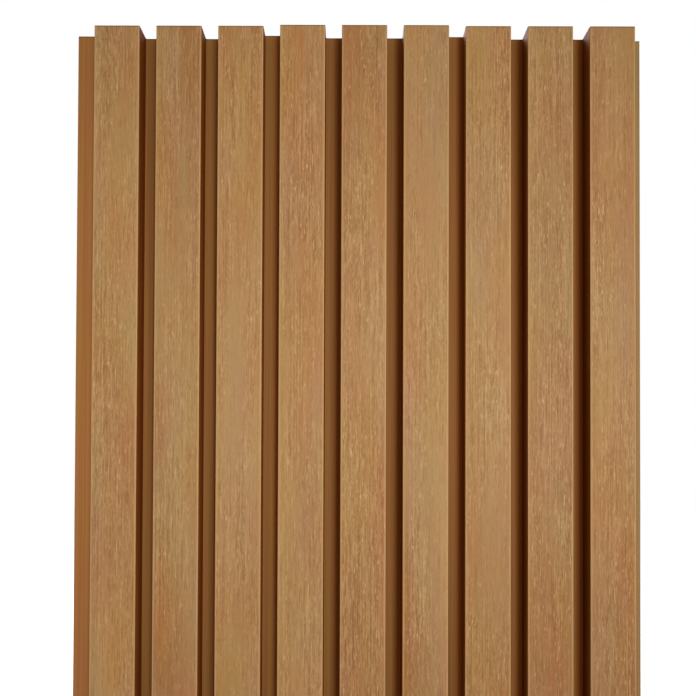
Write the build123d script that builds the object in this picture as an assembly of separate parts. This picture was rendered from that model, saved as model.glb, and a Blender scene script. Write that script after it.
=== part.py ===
"""Slat wall panel: three interlocking wood-composite cladding boards, set edge to edge.

Each board is one hollow extrusion with three slats on a thin base. Its left edge is a tongue,
and its right edge is a slot above a fixing lip. The tongue of the next board covers the lip and
enters the slot, so the grooves look alike over the whole panel and the screws are hidden.

Frame, in millimetres: +Z runs up the slats, the wall is the plane y = 0, and the slat faces look
along -Y. The origin is on the wall plane, behind the middle of the centre slat.
"""

import os

from build123d import *

# Boards and slats
node_names = ("left_board", "middle_board", "right_board")
board_length = 1000.0
slats_per_board = 3
slat_width = 48.0
groove_width = 17.5
board_thickness = 26.0
base_thickness = 6.0

# The boards slide in their joints: how far each one stands above the first
board_slips = (0.0, 1.2, 0.3)

# Hollow chamber in each slat
face_wall = 5.0
side_wall = 5.0
back_wall = 5.5
chamber_radius = 3.0

# Joint between two boards
lip_thickness = 3.8
lip_end_gap = 2.0
tongue_thickness = 5.4
tongue_engagement = 7.0
joint_clearance = 0.3
slot_end_gap = 1.0
slot_mouth_radius = 0.8

# V-shaped groove that starts the fixing screws, along the middle of the lip
screw_groove_width = 2.4
screw_groove_depth = 1.0

# Edges
face_edge_radius = 1.2
groove_root_radius = 1.2
tongue_tip_radius = 1.2
lip_tip_radius = 0.8

# Sizes that follow from those above; y values are heights above the wall, along -Y
pitch = slat_width + groove_width
board_cover = slats_per_board * pitch
last_slat_end = board_cover - groove_width
tongue_back = lip_thickness + joint_clearance
tongue_face = tongue_back + tongue_thickness
tongue_width = groove_width + tongue_engagement
lip_width = groove_width - lip_end_gap
slot_depth = tongue_engagement + slot_end_gap
slot_face = tongue_face + joint_clearance
panel_cover = len(node_names) * board_cover - groove_width


def strip(start, width, low, high):
    """Rectangle of the section from x = start, between two heights above the wall."""
    return Pos(start + width / 2, -(low + high) / 2) * Rectangle(width, high - low)


def rounded(section, radius, points):
    """Section with the corners at the given (x, height) points rounded."""
    corners = [section.vertices().sort_by_distance((x, -height))[0] for x, height in points]
    return fillet(corners, radius)


def slat_starts():
    """Left wall of each slat."""
    return [index * pitch for index in range(slats_per_board)]


def outer_section():
    """Slats and base as one outline, with the tongue on the left and the lip on the right."""
    section = strip(0, last_slat_end, 0, base_thickness)
    section += strip(-tongue_width, tongue_width, tongue_back, tongue_face)
    section += strip(last_slat_end, lip_width, 0, lip_thickness)
    for start in slat_starts():
        section += strip(start, slat_width, 0, board_thickness)
    return section


def round_edges(section):
    """Eased slat edges, filleted groove roots, and lead-in radii on the tongue and the lip."""
    face_edges = []
    groove_roots = []
    for start in slat_starts():
        face_edges += [(start, board_thickness), (start + slat_width, board_thickness)]
    for start in slat_starts()[:-1]:
        groove_roots += [(start + slat_width, base_thickness), (start + pitch, base_thickness)]
    section = rounded(section, face_edge_radius, face_edges)
    section = rounded(section, groove_root_radius, groove_roots + [(0, tongue_face)])
    tongue_tip = [(-tongue_width, tongue_back), (-tongue_width, tongue_face)]
    section = rounded(section, tongue_tip_radius, tongue_tip)
    return rounded(section, lip_tip_radius, [(last_slat_end + lip_width, lip_thickness)])


def joint_slot():
    """Slot in the right wall of the last slat, level with the lip, for the next board's tongue."""
    return strip(last_slat_end - slot_depth, slot_depth, lip_thickness, slot_face)


def screw_groove():
    """V cut into the front of the lip, for the points of the fixing screws."""
    middle = last_slat_end + lip_width / 2
    half = screw_groove_width / 2
    mouth = -lip_thickness
    return make_face(
        Polyline(
            (middle - half, mouth),
            (middle + half, mouth),
            (middle, mouth + screw_groove_depth),
            close=True,
        )
    )


def chamber(start, width):
    """Rounded hollow that runs the length of a slat."""
    opening = strip(start, width, back_wall, board_thickness - face_wall)
    return fillet(opening.vertices(), chamber_radius)


def board_section():
    """Section of one board, cut square across its slats."""
    section = round_edges(outer_section()) - joint_slot() - screw_groove()
    section = rounded(section, slot_mouth_radius, [(last_slat_end, slot_face)])
    for start in slat_starts()[:-1]:
        section -= chamber(start + side_wall, slat_width - 2 * side_wall)
    last_width = slat_width - 2 * side_wall - slot_depth
    section -= chamber(slat_starts()[-1] + side_wall, last_width)
    return section


def board(index, section):
    """One board, extruded upwards from its lower end and set in its place in the panel."""
    left = index * board_cover - panel_cover / 2
    bottom = board_slips[index] - board_length / 2
    return Pos(left, 0, bottom) * extrude(section, amount=board_length)


os.makedirs("parts", exist_ok=True)
profile = board_section()
for index, name in enumerate(node_names):
    export_step(board(index, profile), f"parts/{name}.step")
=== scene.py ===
import math

import bpy
import numpy as np
from mathutils import Matrix, Vector
from mathutils.geometry import tessellate_polygon


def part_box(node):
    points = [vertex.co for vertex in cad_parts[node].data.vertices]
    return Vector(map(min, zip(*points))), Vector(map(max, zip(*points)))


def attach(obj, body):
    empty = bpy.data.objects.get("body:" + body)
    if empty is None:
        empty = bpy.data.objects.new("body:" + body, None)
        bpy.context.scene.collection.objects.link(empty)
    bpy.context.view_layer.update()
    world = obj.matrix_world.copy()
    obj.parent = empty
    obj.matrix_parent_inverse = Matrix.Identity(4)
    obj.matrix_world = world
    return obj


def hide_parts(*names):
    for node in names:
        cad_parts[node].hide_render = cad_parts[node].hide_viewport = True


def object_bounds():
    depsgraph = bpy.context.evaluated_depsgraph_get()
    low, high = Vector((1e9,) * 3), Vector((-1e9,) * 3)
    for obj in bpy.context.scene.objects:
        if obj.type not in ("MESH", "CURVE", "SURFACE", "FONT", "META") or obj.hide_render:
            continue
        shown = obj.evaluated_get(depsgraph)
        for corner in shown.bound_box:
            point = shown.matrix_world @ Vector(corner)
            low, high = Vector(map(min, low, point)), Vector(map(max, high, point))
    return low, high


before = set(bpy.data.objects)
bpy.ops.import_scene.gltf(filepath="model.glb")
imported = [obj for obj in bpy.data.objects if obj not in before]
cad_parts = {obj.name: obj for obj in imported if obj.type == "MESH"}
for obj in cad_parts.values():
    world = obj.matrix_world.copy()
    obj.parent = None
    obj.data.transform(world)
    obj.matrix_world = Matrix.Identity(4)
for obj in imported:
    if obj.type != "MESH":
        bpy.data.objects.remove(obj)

cad_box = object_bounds()


# Board section: each board is one hollow extrusion of wood composite, with three slats on a thin base.
# A tongue runs along its left edge, and a slot over a fixing lip along its right edge, so the boards
# hook into each other. Sizes are in metres, and heights are measured out from the wall.
slats_per_board = 3
slat_width = 0.048
groove_width = 0.0175
board_thickness = 0.026
base_thickness = 0.006
lip_thickness = 0.0038
lip_end_gap = 0.002
tongue_thickness = 0.0054
tongue_engagement = 0.007
joint_clearance = 0.0003
slot_end_gap = 0.001
screw_groove_width = 0.0024
screw_groove_depth = 0.001
face_edge_radius = 0.0012
groove_root_radius = 0.0012
tongue_tip_radius = 0.0012
lip_tip_radius = 0.0008
slot_mouth_radius = 0.0008
face_wall = 0.005
side_wall = 0.005
back_wall = 0.0055
chamber_radius = 0.003
tiny = 1e-6  # shorter than anything on the board

pitch = slat_width + groove_width
last_slat_end = slats_per_board * pitch - groove_width
tongue_back = lip_thickness + joint_clearance
tongue_face = tongue_back + tongue_thickness
tongue_width = groove_width + tongue_engagement
lip_width = groove_width - lip_end_gap
slot_depth = tongue_engagement + slot_end_gap
slot_face = tongue_face + joint_clearance


def outer_corners():
    """Corners round the section, as rows of x from the first slat's left wall, height and radius."""
    rows = [
        (0, 0, 0),
        (0, tongue_back, 0),
        (-tongue_width, tongue_back, tongue_tip_radius),
        (-tongue_width, tongue_face, tongue_tip_radius),
    ]
    for slat in range(slats_per_board):
        left = slat * pitch
        right = left + slat_width
        foot = tongue_face if slat == 0 else base_thickness
        rows.append((left, foot, groove_root_radius))
        rows.append((left, board_thickness, face_edge_radius))
        rows.append((right, board_thickness, face_edge_radius))
        if slat < slats_per_board - 1:
            rows.append((right, base_thickness, groove_root_radius))
    screw_line = last_slat_end + lip_width / 2
    rows += [
        (last_slat_end, slot_face, slot_mouth_radius),
        (last_slat_end - slot_depth, slot_face, 0),
        (last_slat_end - slot_depth, lip_thickness, 0),
        (screw_line - screw_groove_width / 2, lip_thickness, 0),
        (screw_line, lip_thickness - screw_groove_depth, 0),
        (screw_line + screw_groove_width / 2, lip_thickness, 0),
        (last_slat_end + lip_width, lip_thickness, lip_tip_radius),
        (last_slat_end + lip_width, 0, 0),
    ]
    return np.array(rows)


def chamber_corners(slat):
    """Corners of the hollow inside a slat, in the same form; the last one stops short of the slot."""
    left = slat * pitch + side_wall
    right = slat * pitch + slat_width - side_wall
    if slat == slats_per_board - 1:
        right -= slot_depth
    top = board_thickness - face_wall
    places = [(left, back_wall), (right, back_wall), (right, top), (left, top)]
    return np.array([(x, height, chamber_radius) for x, height in places])


def rounded_outline(corners, arc_steps=5):
    """Closed outline with a quarter circle at each rounded corner.

    A corner P has unit directions u to the corner before it and v to the one after. Its arc has the
    centre C = P + r(u + v), and its points are C - r(v cos a + u sin a) for a from 0 to 90 degrees.
    """
    place, radius = corners[:, :2], corners[:, 2]
    before = np.roll(place, 1, axis=0) - place
    after = np.roll(place, -1, axis=0) - place
    u = (before / np.linalg.norm(before, axis=1, keepdims=True))[:, None, :]
    v = (after / np.linalg.norm(after, axis=1, keepdims=True))[:, None, :]
    r = radius[:, None, None]
    turn = np.linspace(0, math.pi / 2, arc_steps + 1)[None, :, None]
    arcs = place[:, None, :] + r * (u + v) - r * (v * np.cos(turn) + u * np.sin(turn))
    points = arcs.reshape(-1, 2)
    apart = np.linalg.norm(points - np.roll(points, 1, axis=0), axis=1) > tiny
    return points[apart]


def finer_faces(outline, step=0.0007):
    """Outline with the slat faces divided into steps, so that they can carry the embossed grain.

    A point a share s of the way from a corner A to the next corner B is A(1 - s) + Bs.
    """
    ahead = np.roll(outline, -1, axis=0)
    span = np.linalg.norm(ahead - outline, axis=1)
    on_face = (outline[:, 1] > board_thickness - tiny) & (ahead[:, 1] > board_thickness - tiny)
    pieces = np.where(on_face, np.ceil(span / step), 1).astype(int)
    owner = np.repeat(np.arange(len(outline)), pieces)
    first = np.cumsum(pieces) - pieces
    share = ((np.arange(pieces.sum()) - first[owner]) / pieces[owner])[:, None]
    return outline[owner] * (1 - share) + ahead[owner] * share


# Embossed grain: a patterned roller presses shallow pores into the slat faces while the board is warm.
# They follow the rings of a flat-sawn plank, which rise in long arches, and the rounded edges stay
# smooth. The pores are real hollows in the mesh, an eighth of a millimetre deep.
pore_depth = 0.000125
pore_size = (0.0006, 0.012)
pore_level = 1.55
pore_slope = 0.9
ring_pull = 0.55
patch_pull = 0.25
patch_size = (0.009, 0.06)
ring_spacing = 0.0055
ring_wobble = 0.0012
wobble_size = (0.006, 0.03)
pith_depth = 0.016
pith_drift = 0.010
pith_sway_length = 0.16
pith_dip_length = 0.10
line_sway = 0.0015
sway_size = (0.02, 0.05)
tone_drift = 0.6
tone_size = (0.02, 0.12)
smooth_margin = 0.0015
# A band along each slat, a little above mid height, where the face is a little yellower.
yellow_band_middle = 0.17
yellow_band_reach = 0.22


def random_field(rng, x, z, size_x, size_z, waves=140):
    """Smooth random field with a spread of 1: a sum of plane waves with random directions and phases.

    size_x and size_z are the sizes of its patches across and along the slat.
    """
    across = rng.normal(size=waves) / size_x
    along = rng.normal(size=waves) / size_z
    phase = rng.uniform(0, 2 * math.pi, waves)
    field = np.cos(x[..., None] * across + z[..., None] * along + phase).sum(axis=-1)
    return field * math.sqrt(2 / waves)


def ring_figure(rng, x, z):
    """How deep a point lies in a growth ring, from 0 to 1.

    The rings are round a pith that wanders below the face: the ring at a point is
    sqrt((x - c)^2 + d^2) over the spacing, where c and d, its place across and its depth, drift with z.
    """
    still = np.zeros_like(z)
    across = pith_drift * random_field(rng, still, z, 1, pith_sway_length, waves=40)
    depth = pith_depth + pith_drift * random_field(rng, still, z, 1, pith_dip_length, waves=40)
    wobble = ring_wobble * random_field(rng, x, z, *wobble_size, waves=80)
    ring = np.hypot(x - across, depth) + wobble
    return 0.5 + 0.5 * np.cos(2 * math.pi * ring / ring_spacing)


def grain(rng, x, z):
    """Layers of one slat face: pores, figure, tone, rim and a yellower band, with x from the middle of the
    face.

    A pore is where a stretched random field passes a threshold, which falls in the dark part of a ring
    and in some patches. The figure, from 0 to 1, says how busy the grain is, tone is a slow drift with
    a step from slat to slat, and rim is 1 on the rounded edges and falls to 0 on the face. The last layer
    is a bell curve along the slat, peaking a little above mid height, where the face is a little yellower.
    """
    step = rng.normal()
    sway = line_sway * random_field(rng, x, z, *sway_size, waves=60)
    stroke = random_field(rng, x + sway, z, *pore_size)
    patch = random_field(rng, x, z, *patch_size, waves=60)
    ring = ring_figure(rng, x, z)
    edge = slat_width / 2 - np.abs(x)
    threshold = pore_level - ring_pull * ring - patch_pull * patch
    pores = np.clip((stroke - threshold) / pore_slope, 0, 1) * np.clip(edge / smooth_margin - 0.8, 0, 1)
    figure = np.clip(0.5 + 0.25 * (2 * ring - 1) + 0.25 * patch, 0, 1)
    tone = step + tone_drift * random_field(rng, x, z, *tone_size, waves=60)
    rim = np.clip(1.6 - edge / smooth_margin, 0, 1)
    yellow_band = np.exp(-(((z - yellow_band_middle) / yellow_band_reach) ** 2))
    return pores, figure, tone, rim, yellow_band


# Board mesh: the section is carried up the board in rows, the pores are pressed into the faces, and the
# square-cut ends are closed round the chambers. Each stretch of the section has its own finish, and a
# flat plan of the skin gives the board its own map for the finishes.
grain_rows = 340
board_width = tongue_width + last_slat_end + lip_width
crease_angle = math.radians(35)
grained, side, floor_skin, tongue_skin, lip_skin, back_skin, sawn = range(7)


def slat_grain(outline, z, seed):
    """Grain of a whole board: arrays over rows and outline points, zero away from the slat faces.

    The cut layer is 1 on the two end rows, and falls to 0 at the rows beside them.
    """
    shape = (len(z), len(outline))
    layers = {name: np.zeros(shape) for name in ("pores", "figure", "tone", "rim", "yellow_band")}
    on_face = outline[:, 1] > board_thickness - face_edge_radius - tiny
    for slat in range(slats_per_board):
        middle = slat * pitch + slat_width / 2
        columns = np.flatnonzero(on_face & (np.abs(outline[:, 0] - middle) < slat_width / 2 + tiny))
        across, along = np.meshgrid(outline[columns, 0] - middle, z)
        rng = np.random.default_rng(seed + slat)
        for layer, values in zip(layers.values(), grain(rng, across, along)):
            layer[:, columns] = values
    layers["cut"] = np.zeros(shape)
    layers["cut"][[0, -1]] = 1
    return layers


def stretch_finish(outline):
    """Finish of each stretch: upright ones are sides, flat ones floor, tongue, lip, back or face."""
    ahead = np.roll(outline, -1, axis=0)
    run, rise = np.abs(ahead - outline).T
    middle = (ahead + outline) / 2
    flat = np.where(middle[:, 0] < 0, tongue_skin, floor_skin)
    flat = np.where(middle[:, 0] > last_slat_end, lip_skin, flat)
    back_height = np.where(middle[:, 0] < 0, tongue_back, 0)
    flat = np.where(middle[:, 1] < back_height + tiny, back_skin, flat)
    finish = np.where(rise > run, side, flat)
    return np.where(middle[:, 1] > board_thickness - 0.5 * face_edge_radius, grained, finish)


def strips(lower, upper):
    """Four-cornered faces between two closed rings of vertex numbers, or between rows of them.

    A face takes a vertex and the next one from the lower ring, and then the same two from the upper one.
    """
    return np.stack([lower, np.roll(lower, -1, -1), np.roll(upper, -1, -1), upper], axis=-1).reshape(-1, 4)


def end_triangles(outlines, facing):
    """Triangles that close a cut end round the chambers, as numbers of the outlines' points in a row.

    Facing is 1 at the upper end and -1 at the lower one. A triangle turns by the cross product of two
    of its sides, and where that has the sign of facing, its corners are taken the other way round.
    """
    loops = [[Vector((x, height, 0)) for x, height in outline] for outline in outlines]
    triangles = np.array(tessellate_polygon(loops))
    first, second, third = np.concatenate(outlines)[triangles].transpose(1, 2, 0)
    across, along = second - first, third - first
    turned = facing * (across[0] * along[1] - across[1] * along[0]) > 0
    triangles[turned] = triangles[turned, ::-1]
    return triangles


def plan_strips(across, along):
    """Corners of a grid's faces on the flat plan, from its lines across and along, as strips orders them."""
    left, low = np.meshgrid(across[:-1], along[:-1])
    right, high = np.meshgrid(across[1:], along[1:])
    corners = [(left, low), (right, low), (right, high), (left, high)]
    return np.stack([np.stack(corner, axis=-1) for corner in corners], axis=2).reshape(-1, 2)


def skin_plan(outline, hollows, low_end, high_end):
    """Flat plan of the whole skin in a square, as a place for each corner of each face, in their order.

    The skin is slit along one line and unrolled, with the chambers beside it and the ends in two bands
    above. Going round an outline, each stretch is as wide as its length times its share, and the slat
    faces have the largest share because their finish is the finest.
    """
    skin_share, hollow_share, gap = 0.25, 0.05, 0.004
    skin_top, band = 0.91, 0.04
    shares = [np.where(stretch_finish(outline) == grained, 1, skin_share)] + [hollow_share] * len(hollows)
    levels = [grain_rows] + [2] * len(hollows)
    widths = [
        np.linalg.norm(np.roll(ring, -1, axis=0) - ring, axis=1) * share
        for ring, share in zip([outline] + hollows, shares)
    ]
    scale = (1 - gap * len(hollows)) / np.concatenate(widths).sum()
    places, start = [], 0.0
    for width, count in zip(widths, levels):
        lines = start + scale * np.concatenate([[0], np.cumsum(width)])
        places.append(plan_strips(lines, np.linspace(0, skin_top, count)))
        start = lines[-1] + gap
    points = np.concatenate([outline] + hollows)
    for triangles, facing, base in ((low_end, -1, skin_top + gap), (high_end, 1, 1 - band)):
        x, height = points[triangles].reshape(-1, 2).T
        up = 0.5 - facing * (height / board_thickness - 0.5)
        places.append(np.column_stack([(x + tongue_width) / board_width, base + band * up]))
    return np.concatenate(places)


def board_mesh(name, left, bottom, top, seed):
    """One board: the outline's points repeated up the board, with the faces sunk by the pores.

    A point of the outline at x and height h goes to (left + x, d - h, z) in the row at z, where d is how
    deep a pore is there.
    """
    outline = finer_faces(rounded_outline(outer_corners()))
    z = np.linspace(bottom, top, grain_rows)
    layers = slat_grain(outline, z, seed)
    height = outline[:, 1] - pore_depth * layers["pores"]
    x = np.broadcast_to(left + outline[:, 0], height.shape)
    shell = np.stack([x, -height, np.broadcast_to(z[:, None], height.shape)], axis=-1).reshape(-1, 3)
    numbers = np.arange(len(shell)).reshape(height.shape)

    hollows = [rounded_outline(chamber_corners(slat), arc_steps=4) for slat in range(slats_per_board)]
    vertices = [shell]
    low_ring, high_ring = [numbers[0]], [numbers[-1]]
    quads = [strips(numbers[:-1], numbers[1:])]
    count = len(shell)
    for hollow in hollows:
        ring = np.arange(len(hollow)) + count
        place = np.column_stack([left + hollow[:, 0], -hollow[:, 1]])
        for level in (bottom, top):
            vertices.append(np.column_stack([place, np.full(len(place), level)]))
        low_ring.append(ring)
        high_ring.append(ring + len(hollow))
        quads.append(strips(ring, ring + len(hollow)))
        count += 2 * len(hollow)
    vertices = np.concatenate(vertices)
    outer_count = len(quads[0])
    quads = np.concatenate(quads)
    low_section = [np.column_stack([outline[:, 0], height[0]])] + hollows
    high_section = [np.column_stack([outline[:, 0], height[-1]])] + hollows
    low_end, high_end = end_triangles(low_section, -1), end_triangles(high_section, 1)
    ends = np.concatenate([np.concatenate(low_ring)[low_end], np.concatenate(high_ring)[high_end]])

    mesh = bpy.data.meshes.new(name)
    mesh.from_pydata(vertices.tolist(), [], quads.tolist() + ends.tolist())
    plan = mesh.uv_layers.new(name="OFBake")
    places = skin_plan(outline, hollows, low_end, high_end)
    plan.uv.foreach_set("vector", places.astype(np.float32).ravel())
    finish = np.tile(stretch_finish(outline), grain_rows - 1)
    finish = np.concatenate([finish, np.full(len(quads) - outer_count, side), np.full(len(ends), sawn)])
    mesh.polygons.foreach_set("material_index", finish.astype(np.int32))
    mesh.polygons.foreach_set("use_smooth", finish != sawn)
    for layer, values in layers.items():
        attribute = mesh.attributes.new(layer, "FLOAT", "POINT")
        padded = np.zeros(len(vertices), np.float32)
        padded[: len(shell)] = values.ravel()
        attribute.data.foreach_set("value", padded)
    mesh.set_sharp_from_angle(angle=crease_angle)
    mesh.validate()
    return mesh


# Composite: wood flour and plastic, coloured right through. The embossed faces are brushed matt and pale,
# the sides and grooves keep the smoother skin of the die, darker and redder there as painted shade, and the
# sawn ends show the core.
deep_tan = (149, 99, 53)
pale_tan = (201, 153, 95)
reddened_tan = (179, 100, 52)
bleached_tan = (178, 151, 99)
straw_tan = (179, 131, 57)
greyed_tan = (175, 127, 94)
busy_tan = (142, 96, 54)
yellow_band_tan = (165, 136, 93)
dark_line = (141, 92, 50)
pale_line = (208, 164, 112)
dark_stroke = (134, 86, 44)
pale_stroke = (214, 170, 115)
pale_fleck = (218, 176, 124)
pore_brown = (131, 84, 43)
smooth_rim_and_highlight = (205, 160, 108)
cut_edge_brown = (88, 58, 30)
dark_fibre = (124, 84, 50)
pale_fibre = (172, 128, 84)


def linear(red, green, blue):
    """Colour given as 0 to 255 screen values, as linear light with full alpha."""
    screen = np.array([red, green, blue]) / 255
    light = np.where(screen <= 0.04045, screen / 12.92, ((screen + 0.055) / 1.055) ** 2.4)
    return (*light.tolist(), 1.0)


def composite_nodes(name, roughness, gloss):
    """New material with its node tree, its main shader and the object's own coordinates."""
    material = bpy.data.materials.new(name)
    material.use_nodes = True
    tree = material.node_tree
    shader = tree.nodes["Principled BSDF"]
    shader.inputs["Roughness"].default_value = roughness
    shader.inputs["Specular IOR Level"].default_value = gloss
    coordinates = tree.nodes.new("ShaderNodeTexCoord")
    return material, tree, shader, coordinates.outputs["Object"]


def noise(tree, place, scale, detail=3.0, start=0.0):
    """Noise from 0 to 1; its scale is patches per metre on each axis, and its start moves the pattern."""
    mapping = tree.nodes.new("ShaderNodeMapping")
    mapping.inputs["Location"].default_value = (start, start, start)
    mapping.inputs["Scale"].default_value = scale
    tree.links.new(place, mapping.inputs["Vector"])
    texture = tree.nodes.new("ShaderNodeTexNoise")
    texture.inputs["Scale"].default_value = 1.0
    texture.inputs["Detail"].default_value = detail
    tree.links.new(mapping.outputs["Vector"], texture.inputs["Vector"])
    return texture.outputs["Fac"]


def shade(tree, value, low, high, out_low, out_high):
    """A value between low and high, carried over to the range from out_low to out_high."""
    node = tree.nodes.new("ShaderNodeMapRange")
    tree.links.new(value, node.inputs["Value"])
    node.inputs["From Min"].default_value = low
    node.inputs["From Max"].default_value = high
    node.inputs["To Min"].default_value = out_low
    node.inputs["To Max"].default_value = out_high
    return node.outputs["Result"]


def layered(tree, amount, under, over):
    """Colour that goes from under to over as the amount goes from 0 to 1."""
    node = tree.nodes.new("ShaderNodeMix")
    node.data_type = "RGBA"
    tree.links.new(amount, node.inputs["Factor"])
    for socket, colour in ((node.inputs[6], under), (node.inputs[7], over)):
        if isinstance(colour, tuple):
            socket.default_value = colour
        else:
            tree.links.new(colour, socket)
    return node.outputs[2]


def stored(tree, name):
    """One of the grain layers that the mesh carries."""
    node = tree.nodes.new("ShaderNodeAttribute")
    node.attribute_name = name
    return node.outputs["Fac"]


def bumped(tree, shader, height, strength, distance):
    """Fine relief on the shader's normal."""
    node = tree.nodes.new("ShaderNodeBump")
    node.inputs["Strength"].default_value = strength
    node.inputs["Distance"].default_value = distance
    tree.links.new(height, node.inputs["Height"])
    tree.links.new(node.outputs["Normal"], shader.inputs["Normal"])


def scaled(tree, value, other):
    """Product of two values that vary over the surface."""
    node = tree.nodes.new("ShaderNodeMath")
    node.operation = "MULTIPLY"
    tree.links.new(value, node.inputs[0])
    tree.links.new(other, node.inputs[1])
    return node.outputs[0]


def darker_cut_edge(tree, colour):
    """Colour with a darker line, about a millimetre wide, along the board's cut ends."""
    line = shade(tree, stored(tree, "cut"), 0.55, 0.75, 0, 0.6)
    return layered(tree, line, colour, linear(*cut_edge_brown))


def grained_face():
    """Embossed face: warm tan that drifts between yellow and pink, with dark and pale hairlines."""
    material, tree, shader, place = composite_nodes("embossed_composite", roughness=0.62, gloss=0.2)
    figure = stored(tree, "figure")
    busy = shade(tree, figure, 0, 1, 0.25, 1.15)

    def tinted(colour, layer, amount, tint):
        """Colour taken towards a tint as a layer goes from 0 to 1, by the amount at most."""
        return layered(tree, shade(tree, layer, 0, 1, 0, amount), colour, linear(*tint))

    def drifted(colour, scale, start, high, low):
        """Slow drift of the hue, to one tint where a noise is high and to another where it is low."""
        drift = noise(tree, place, scale, 2.0, start)
        colour = layered(tree, shade(tree, drift, 0.5, 0.7, 0, 0.5), colour, linear(*high))
        return layered(tree, shade(tree, drift, 0.5, 0.3, 0, 0.5), colour, linear(*low))

    def drawn(colour, value, first, last, amount, tint):
        """Hairlines that come in as a value goes from first to last, stronger where the grain is busy."""
        line = scaled(tree, shade(tree, value, first, last, 0, amount), busy)
        return layered(tree, line, colour, linear(*tint))

    def hairlines(colour, value, reach, amount, dark, pale):
        """Dark hairlines where a value is above its middle, and pale ones where it is below."""
        colour = drawn(colour, value, 0.5, 0.5 + reach, amount, dark)
        return drawn(colour, value, 0.5, 0.5 - reach, amount, pale)

    lines = noise(tree, place, (650, 650, 6), 1.0)
    strokes = noise(tree, place, (750, 750, 80), 1.0)
    specks = noise(tree, place, (900, 900, 320), 0.0)
    flecks = noise(tree, place, (800, 800, 130), 0.0)
    tone = shade(tree, stored(tree, "tone"), -3, 3, 0, 1)
    colour = layered(tree, tone, linear(*deep_tan), linear(*pale_tan))
    colour = drifted(colour, (28, 28, 6), start=73.0, high=reddened_tan, low=bleached_tan)
    colour = drifted(colour, (24, 24, 5), start=87.6, high=straw_tan, low=greyed_tan)
    colour = tinted(colour, figure, amount=0.12, tint=busy_tan)
    # Yellower in a bell-shaped band along the slat, a little above mid height.
    colour = tinted(colour, stored(tree, "yellow_band"), amount=0.28, tint=yellow_band_tan)
    colour = hairlines(colour, lines, reach=0.3, amount=0.52, dark=dark_line, pale=pale_line)
    colour = hairlines(colour, strokes, reach=0.35, amount=0.52, dark=dark_stroke, pale=pale_stroke)
    colour = hairlines(colour, specks, reach=0.35, amount=0.22, dark=dark_stroke, pale=pale_stroke)
    colour = drawn(colour, flecks, first=0.68, last=0.78, amount=0.62, tint=pale_fleck)
    colour = tinted(colour, stored(tree, "pores"), amount=0.18, tint=pore_brown)
    # Pale rounded edges: partly their smooth skin without grain, and partly a painted highlight where they
    # catch the light.
    colour = tinted(colour, stored(tree, "rim"), amount=0.7, tint=smooth_rim_and_highlight)
    tree.links.new(darker_cut_edge(tree, colour), shader.inputs["Base Color"])
    bumped(tree, shader, strokes, strength=0.2, distance=0.0003)
    return material


def towards_wall(tree, across):
    """0 over the left of a groove, rising to 1 near its right wall, alike in every groove of the panel.

    The rise goes between two shares of the groove's width, counted back from that wall. It is where the
    groove floors get their painted shadow.
    """
    first_share, last_share = 0.55, 0.15
    wall = pitch - slat_width / 2
    wrapped = tree.nodes.new("ShaderNodeMath")
    wrapped.operation = "WRAP"
    tree.links.new(across, wrapped.inputs[0])
    wrapped.inputs[1].default_value = wall
    wrapped.inputs[2].default_value = wall - pitch
    first, last = wall - first_share * groove_width, wall - last_share * groove_width
    return shade(tree, wrapped.outputs[0], first, last, 0, 1)


def smooth_skin(name, pale, deep, line, painted_root_shade=0.0, painted_shadow_tint=None):
    """Smooth skin left by the die: brown between two shades, with fine and wide lines along the board.

    The shade towards the root, from 0 to 1, is how far it darkens to the line's colour from the slat face
    inwards: painted shade in the depth of the groove.
    The last colour, when given, is painted shadow: darker and redder on a groove floor towards its right
    wall, where the slat on its right shades it.
    """
    material, tree, shader, place = composite_nodes(name, roughness=0.6, gloss=0.05)
    drift = noise(tree, place, (30, 30, 9), 2.0)
    colour = layered(tree, shade(tree, drift, 0.35, 0.65, 0, 1), linear(*pale), linear(*deep))
    lines = noise(tree, place, (700, 700, 4), 3.0)
    colour = layered(tree, shade(tree, lines, 0.45, 0.75, 0, 0.5), colour, linear(*line))
    streaks = noise(tree, place, (280, 280, 2), 1.0)
    colour = layered(tree, shade(tree, streaks, 0.45, 0.75, 0, 0.6), colour, linear(*line))
    axes = tree.nodes.new("ShaderNodeSeparateXYZ")
    tree.links.new(place, axes.inputs["Vector"])
    # Painted shade: darker from the slat face towards the root of the groove.
    if painted_root_shade:
        root = shade(tree, axes.outputs["Y"], -board_thickness, -tongue_face, 0, painted_root_shade)
        colour = layered(tree, root, colour, linear(*line))
    # Painted shadow on the groove floor towards its right wall.
    if painted_shadow_tint:
        colour = layered(tree, towards_wall(tree, axes.outputs["X"]), colour, linear(*painted_shadow_tint))
    tree.links.new(darker_cut_edge(tree, colour), shader.inputs["Base Color"])
    bumped(tree, shader, lines, strength=0.12, distance=0.0002)
    return material


def sawn_end():
    """Sawn end: the core, with short pale and dark fibres and the fine marks of the saw."""
    material, tree, shader, place = composite_nodes("sawn_composite", roughness=0.75, gloss=0.12)
    fibres = noise(tree, place, (700, 900, 700), 5.0)
    colour = layered(tree, shade(tree, fibres, 0.3, 0.7, 0, 1), linear(*dark_fibre), linear(*pale_fibre))
    tree.links.new(colour, shader.inputs["Base Color"])
    saw_marks = noise(tree, place, (1500, 300, 300), 2.0)
    bumped(tree, shader, saw_marks, strength=0.4, distance=0.0004)
    return material


face_finish = grained_face()
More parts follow.
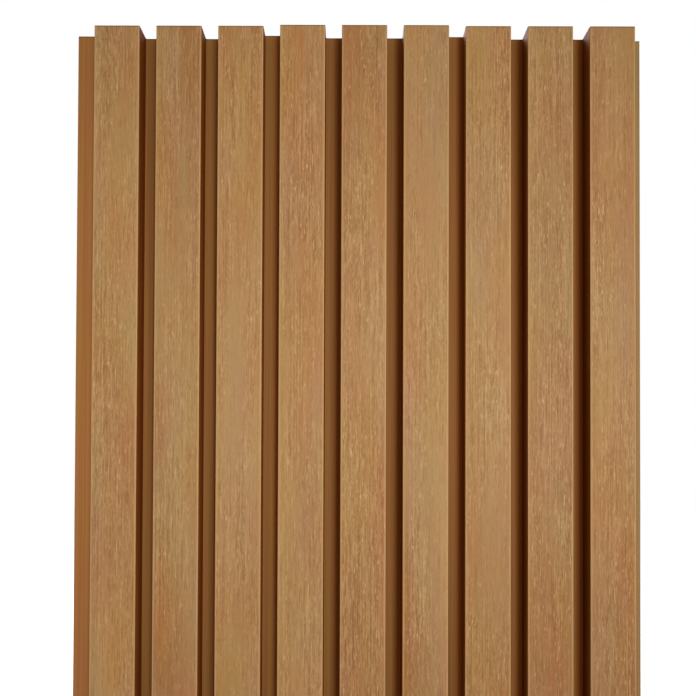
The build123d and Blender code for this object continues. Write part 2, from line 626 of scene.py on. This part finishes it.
# Lit and shaded copies of one skin: the sides and groove floors are darker and redder as painted shade, and
# the free tongue and free lip are paler as painted light.
shaded_side_finish = smooth_skin(
    "side_composite_painted_shade", pale=(163, 98, 38), deep=(155, 90, 32), line=(104, 46, 9), painted_root_shade=0.85
)
shaded_floor_finish = smooth_skin(
    "floor_composite_painted_shade", pale=(150, 104, 53), deep=(152, 101, 54), line=(124, 80, 40), painted_shadow_tint=(150, 82, 28)
)
lit_free_tongue_finish = smooth_skin(
    "free_tongue_composite_painted_light", pale=(170, 118, 60), deep=(174, 113, 66), line=(152, 98, 50)
)
lit_free_lip_finish = smooth_skin(
    "free_lip_composite_painted_light", pale=(174, 140, 90), deep=(172, 134, 87), line=(152, 115, 69)
)
back_finish = smooth_skin("back_composite", pale=(156, 108, 60), deep=(150, 99, 54), line=(128, 82, 43))
end_finish = sawn_end()


# Boards: three alike, each hooked over the one on its left and screwed to the wall through its lip. The
# free tongue at the left and the free lip at the right are paler, as painted light, and those in a joint
# take the groove floor's colour with its painted shade. The grain differs from board to board, and its
# seeds were picked for the steps of tone from slat to slat.
grain_seeds = {"left_board": 343, "middle_board": 238, "right_board": 467}
for node, seed in grain_seeds.items():
    low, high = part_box(node)
    mesh = board_mesh(f"{node}_grained", low[0] + tongue_width, low[2], high[2], seed)
    tongue_finish = lit_free_tongue_finish if node == "left_board" else shaded_floor_finish
    lip_finish = lit_free_lip_finish if node == "right_board" else shaded_floor_finish
    joint_finishes = (shaded_floor_finish, tongue_finish, lip_finish)
    for finish in (face_finish, shaded_side_finish, *joint_finishes, back_finish, end_finish):
        mesh.materials.append(finish)
    board = bpy.data.objects.new(f"{node}_grained", mesh)
    bpy.context.collection.objects.link(board)
    weighted = board.modifiers.new("flat sides", "WEIGHTED_NORMAL")
    weighted.keep_sharp = True
    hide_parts(node)
    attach(board, "root")


# Studio floor: a wide sheet of white paper, laid flat under the panel's lower ends. It keeps the panel's
# shadow, and further out it is lifted until it meets the white background where it is seen.
floor_half_width = 6.0
near_lift = 0.5
far_lift = 0.72
near_reach = 0.45
far_reach = 1.0
floor_mesh = bpy.data.meshes.new("studio_floor")
floor_corners = np.array([(-1, -1), (1, -1), (1, 1), (-1, 1)]) * floor_half_width
floor_level = np.full((4, 1), cad_box[0][2])
floor_mesh.from_pydata(np.hstack([floor_corners, floor_level]).tolist(), [], [(0, 1, 2, 3)])
floor = bpy.data.objects.new("studio_floor", floor_mesh)
bpy.context.collection.objects.link(floor)


def seen_by_eye(tree):
    """1 for what the camera sees directly, in a reflection or through glass, and 0 for other light."""
    path = tree.nodes.new("ShaderNodeLightPath")
    first = tree.nodes.new("ShaderNodeMath")
    first.operation = "MAXIMUM"
    tree.links.new(path.outputs["Is Camera Ray"], first.inputs[0])
    tree.links.new(path.outputs["Is Glossy Ray"], first.inputs[1])
    both = tree.nodes.new("ShaderNodeMath")
    both.operation = "MAXIMUM"
    tree.links.new(first.outputs[0], both.inputs[0])
    tree.links.new(path.outputs["Is Transmission Ray"], both.inputs[1])
    return both.outputs[0]


def floor_paper():
    """White paper, lifted for the camera to meet the white background, less so by the panel's shadow."""
    material = bpy.data.materials.new("studio_paper")
    material.use_nodes = True
    tree = material.node_tree
    shader = tree.nodes["Principled BSDF"]
    shader.inputs["Base Color"].default_value = (0.95, 0.95, 0.95, 1)
    shader.inputs["Roughness"].default_value = 0.9
    shader.inputs["Specular IOR Level"].default_value = 0.0
    shader.inputs["Emission Color"].default_value = (1, 1, 1, 1)
    place = tree.nodes.new("ShaderNodeTexCoord")
    flat = tree.nodes.new("ShaderNodeMapping")
    flat.inputs["Scale"].default_value = (1, 1, 0)
    tree.links.new(place.outputs["Object"], flat.inputs["Vector"])
    distance = tree.nodes.new("ShaderNodeVectorMath")
    distance.operation = "LENGTH"
    tree.links.new(flat.outputs["Vector"], distance.inputs[0])
    lift = shade(tree, distance.outputs["Value"], near_reach, far_reach, near_lift, far_lift)
    tree.links.new(scaled(tree, lift, seen_by_eye(tree)), shader.inputs["Emission Strength"])
    return material


floor_mesh.materials.append(floor_paper())

# Studio light: a soft window in front and to the right of the panel gives the grooves their shadows, and
# one high behind it lights the back and the cut ends. The white room is an even fill and shows as white.
room_fill = 0.295
front_place = (0.84, -2.4, 0.16)
front_aim = (-0.05, 0, 0.14)
front_size = (0.85, 0.3)
front_power = 2.58
front_beam = math.radians(42)
back_place = (-0.6, 1.5, 1.9)
back_aim = (0, 0, 0)
back_size = (1.2, 1.2)
back_power = 40.0


def room():
    """White surroundings: full white where they are seen, and a weaker fill as a light."""
    world = bpy.data.worlds.new("studio_room")
    world.use_nodes = True
    tree = world.node_tree
    background = tree.nodes["Background"]
    background.inputs["Color"].default_value = (1, 1, 1, 1)
    strength = shade(tree, seen_by_eye(tree), 0, 1, room_fill, 1.0)
    tree.links.new(strength, background.inputs["Strength"])
    return world


def soft_window(name, place, aim, size, power, beam=math.pi):
    """Rectangular lamp that faces a point; a beam under a half turn falls off towards its edges."""
    lamp = bpy.data.lights.new(name, "AREA")
    lamp.shape = "RECTANGLE"
    lamp.size, lamp.size_y = size
    lamp.energy = power
    lamp.spread = beam
    holder = bpy.data.objects.new(name, lamp)
    holder.location = place
    holder.rotation_euler = (Vector(aim) - Vector(place)).to_track_quat("-Z", "Y").to_euler()
    bpy.context.collection.objects.link(holder)


bpy.context.scene.world = room()
soft_window("front_window", front_place, front_aim, front_size, front_power, front_beam)
soft_window("back_window", back_place, back_aim, back_size, back_power)

# Camera: close in front of the panel, a little above its mid height, with the frame moved up to take in
# its top end. The values come from where the slat edges and the end steps are seen.
camera_place = (-0.0150, -0.6391, 0.0498)
camera_turn = math.radians(-0.092)
camera_tilt = math.radians(0.644)
camera_roll = math.radians(0.206)
eye = bpy.data.cameras.new("eye")
eye.sensor_width = 36.0
eye.lens = 30.25
eye.shift_y = 0.14
camera = bpy.data.objects.new("eye", eye)
turn = Matrix.Rotation(-camera_turn, 4, "Z") @ Matrix.Rotation(math.pi / 2 + camera_tilt, 4, "X")
camera.matrix_world = Matrix.Translation(camera_place) @ turn @ Matrix.Rotation(camera_roll, 4, "Z")
bpy.context.collection.objects.link(camera)
bpy.context.scene.camera = camera
bpy.context.scene.view_settings.view_transform = "Standard"
